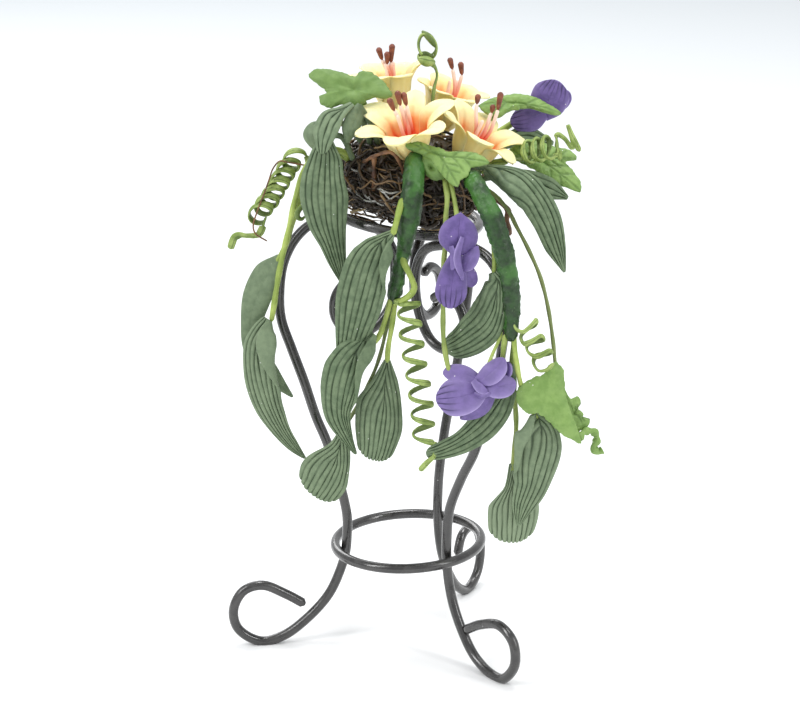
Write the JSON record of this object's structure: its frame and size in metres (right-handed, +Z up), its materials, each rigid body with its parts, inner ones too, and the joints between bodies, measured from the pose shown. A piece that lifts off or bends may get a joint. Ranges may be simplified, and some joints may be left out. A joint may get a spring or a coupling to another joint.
{
  "type": "flower stand planter",
  "caption": "Miniature bent-wire flower stand with curled feet, carrying a moss nest of lilies, purple violas, ivy, coiled tendrils and trailing grooved leaves.",
  "frame": {"origin": "on the floor, under the middle of the whole piece's footprint", "axes": "+Z up, +X to the viewer's right, the foliage trails down on the -Y side, which is the front"},
  "size_m": [0.052, 0.0386, 0.0879],
  "materials": {
    "wire": "gloss black",
    "moss": "matt fibre",
    "twig": "matt",
    "tape": "matt crepe paper tape",
    "stem": "matt",
    "grooved_leaf": "matt clay",
    "ivy": "matt clay",
    "tendril": "matt clay",
    "lily": "matt clay",
    "stamen": "satin",
    "viola": "matt clay"
  },
  "bodies": {
    "root": {"lower_ring": "wire", "pot_ring": "wire", "leg_left": "wire", "leg_right": "wire", "leg_back": "wire", "tape_wrap_left": "tape", "tape_wrap_right": "tape", "stems_left": "stem", "stems_centre": "stem", "stem_centre_upper": "stem", "stems_front": "stem", "stem_upper_right": "stem", "stem_right_long": "stem", "stems_right": "stem", "lily_front_left": "lily", "lily_front_left_stamens": "stamen", "lily_front_right": "lily", "lily_front_right_stamens": "stamen", "lily_back_left": "lily", "lily_back_left_stamens": "stamen", "lily_back_right": "lily", "lily_back_right_stamens": "stamen", "viola_upper": "viola", "viola_lower": "viola", "viola_back": "viola", "ivy_front": "ivy", "ivy_top_left": "ivy", "ivy_top_right": "ivy", "ivy_right": "ivy", "ivy_lower_right": "ivy", "leaf_top_left": "grooved_leaf", "leaf_top_left_behind": "grooved_leaf", "leaf_top_shaded": "grooved_leaf", "leaf_long_left": "grooved_leaf", "leaf_far_left_back": "grooved_leaf", "leaf_far_left": "grooved_leaf", "leaf_centre_upper": "grooved_leaf", "leaf_centre_lower": "grooved_leaf", "leaf_centre_low_round": "grooved_leaf", "leaf_spoon": "grooved_leaf", "leaf_long_right": "grooved_leaf", "leaf_right_behind": "grooved_leaf", "leaf_right_shaded": "grooved_leaf", "leaf_curved_upper": "grooved_leaf", "leaf_curved_lower": "grooved_leaf", "leaf_right_hanging": "grooved_leaf", "leaf_right_lowest": "grooved_leaf", "tendril_left": "tendril", "tendril_centre": "tendril", "tendril_right": "tendril", "tendril_far_right": "tendril", "tendril_top": "tendril", "twig_arch": "twig", "twig_right": "twig", "moss_nest": "moss"}
  },
  "joints": []
}
